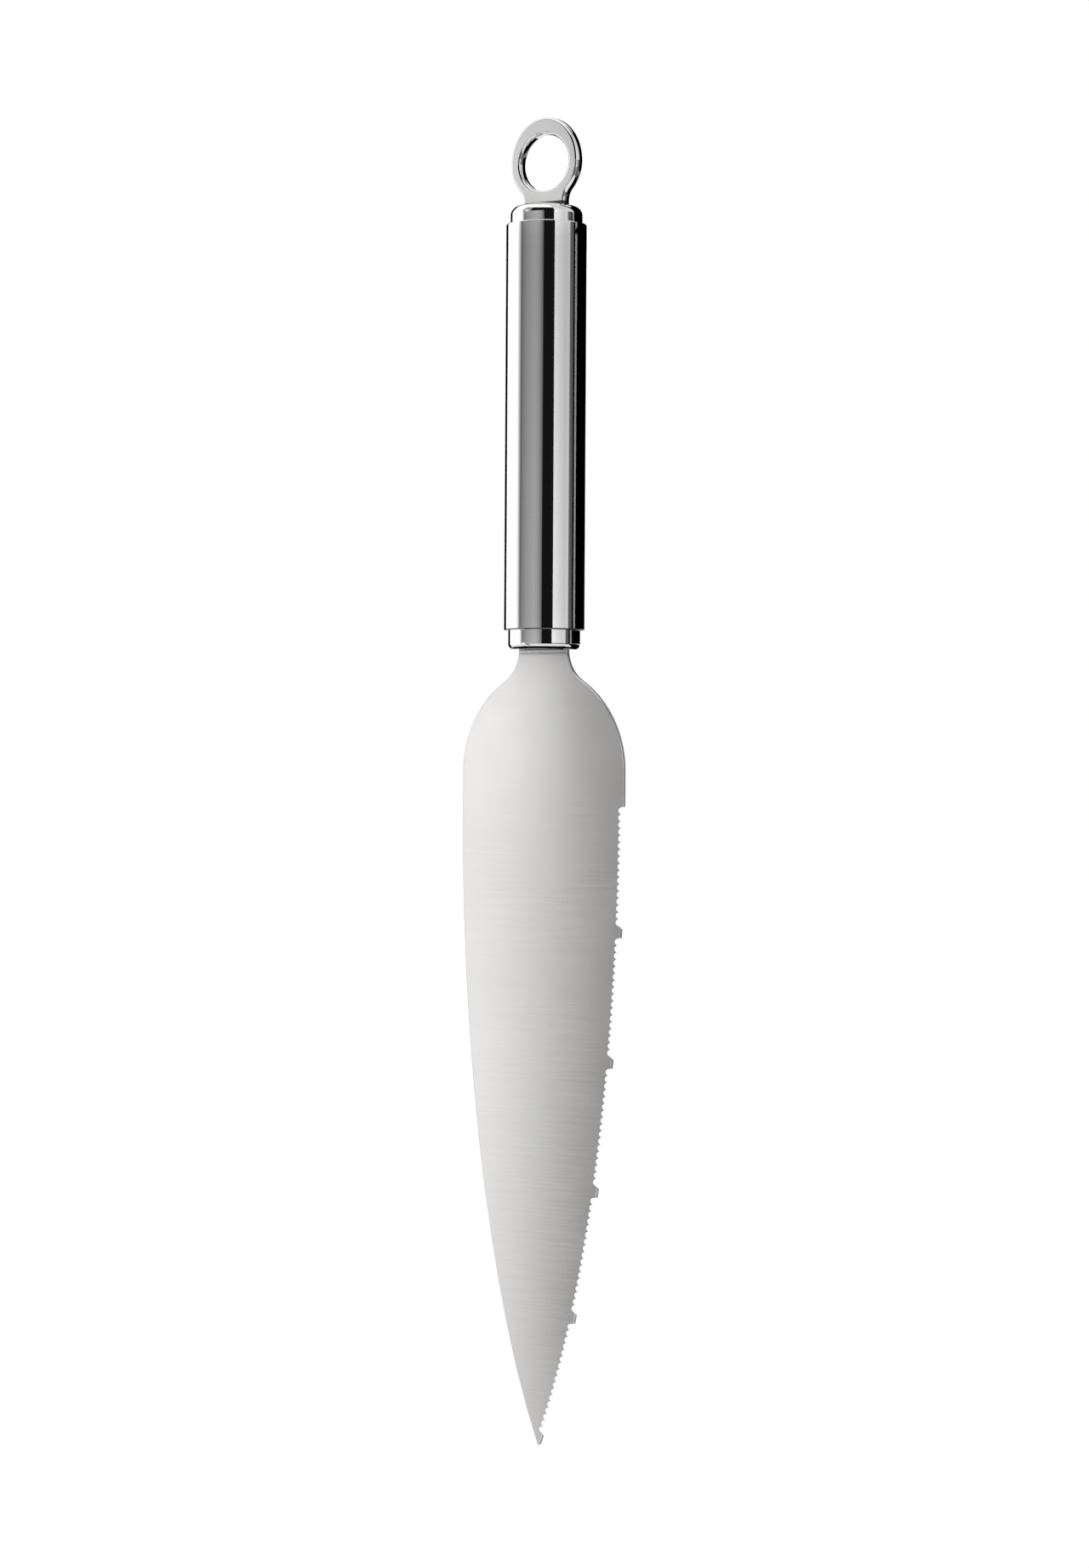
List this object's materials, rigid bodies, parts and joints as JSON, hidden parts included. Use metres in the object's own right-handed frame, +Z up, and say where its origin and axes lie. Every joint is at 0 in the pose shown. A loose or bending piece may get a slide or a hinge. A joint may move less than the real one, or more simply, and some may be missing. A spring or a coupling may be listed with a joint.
{
  "type": "cake knife",
  "caption": "Cake knife with a lancet steel blade serrated in runs along one edge, a round polished tube handle with end caps, and a plate ring to hang it by.",
  "frame": {"origin": "centre of the hole in the hanging ring, halfway through its thickness", "axes": "+Z up along the handle from the blade to the ring, +X across the blade towards its serrated edge, Y square to the blade with the front face on -Y"},
  "size_m": [0.0426, 0.018, 0.2968],
  "materials": {
    "blade_steel": "satin, finely brushed across its width",
    "cap_steel": "bright polish",
    "tube_steel": "bright polish",
    "ring_steel": "fine satin",
    "weld_steel": "as welded"
  },
  "bodies": {
    "root": {"blade": "blade_steel", "front_cap": "cap_steel", "handle_tube": "tube_steel", "rear_cap": "cap_steel", "hanging_ring": "ring_steel", "tang_weld": "weld_steel", "ring_weld": "weld_steel"}
  },
  "joints": []
}
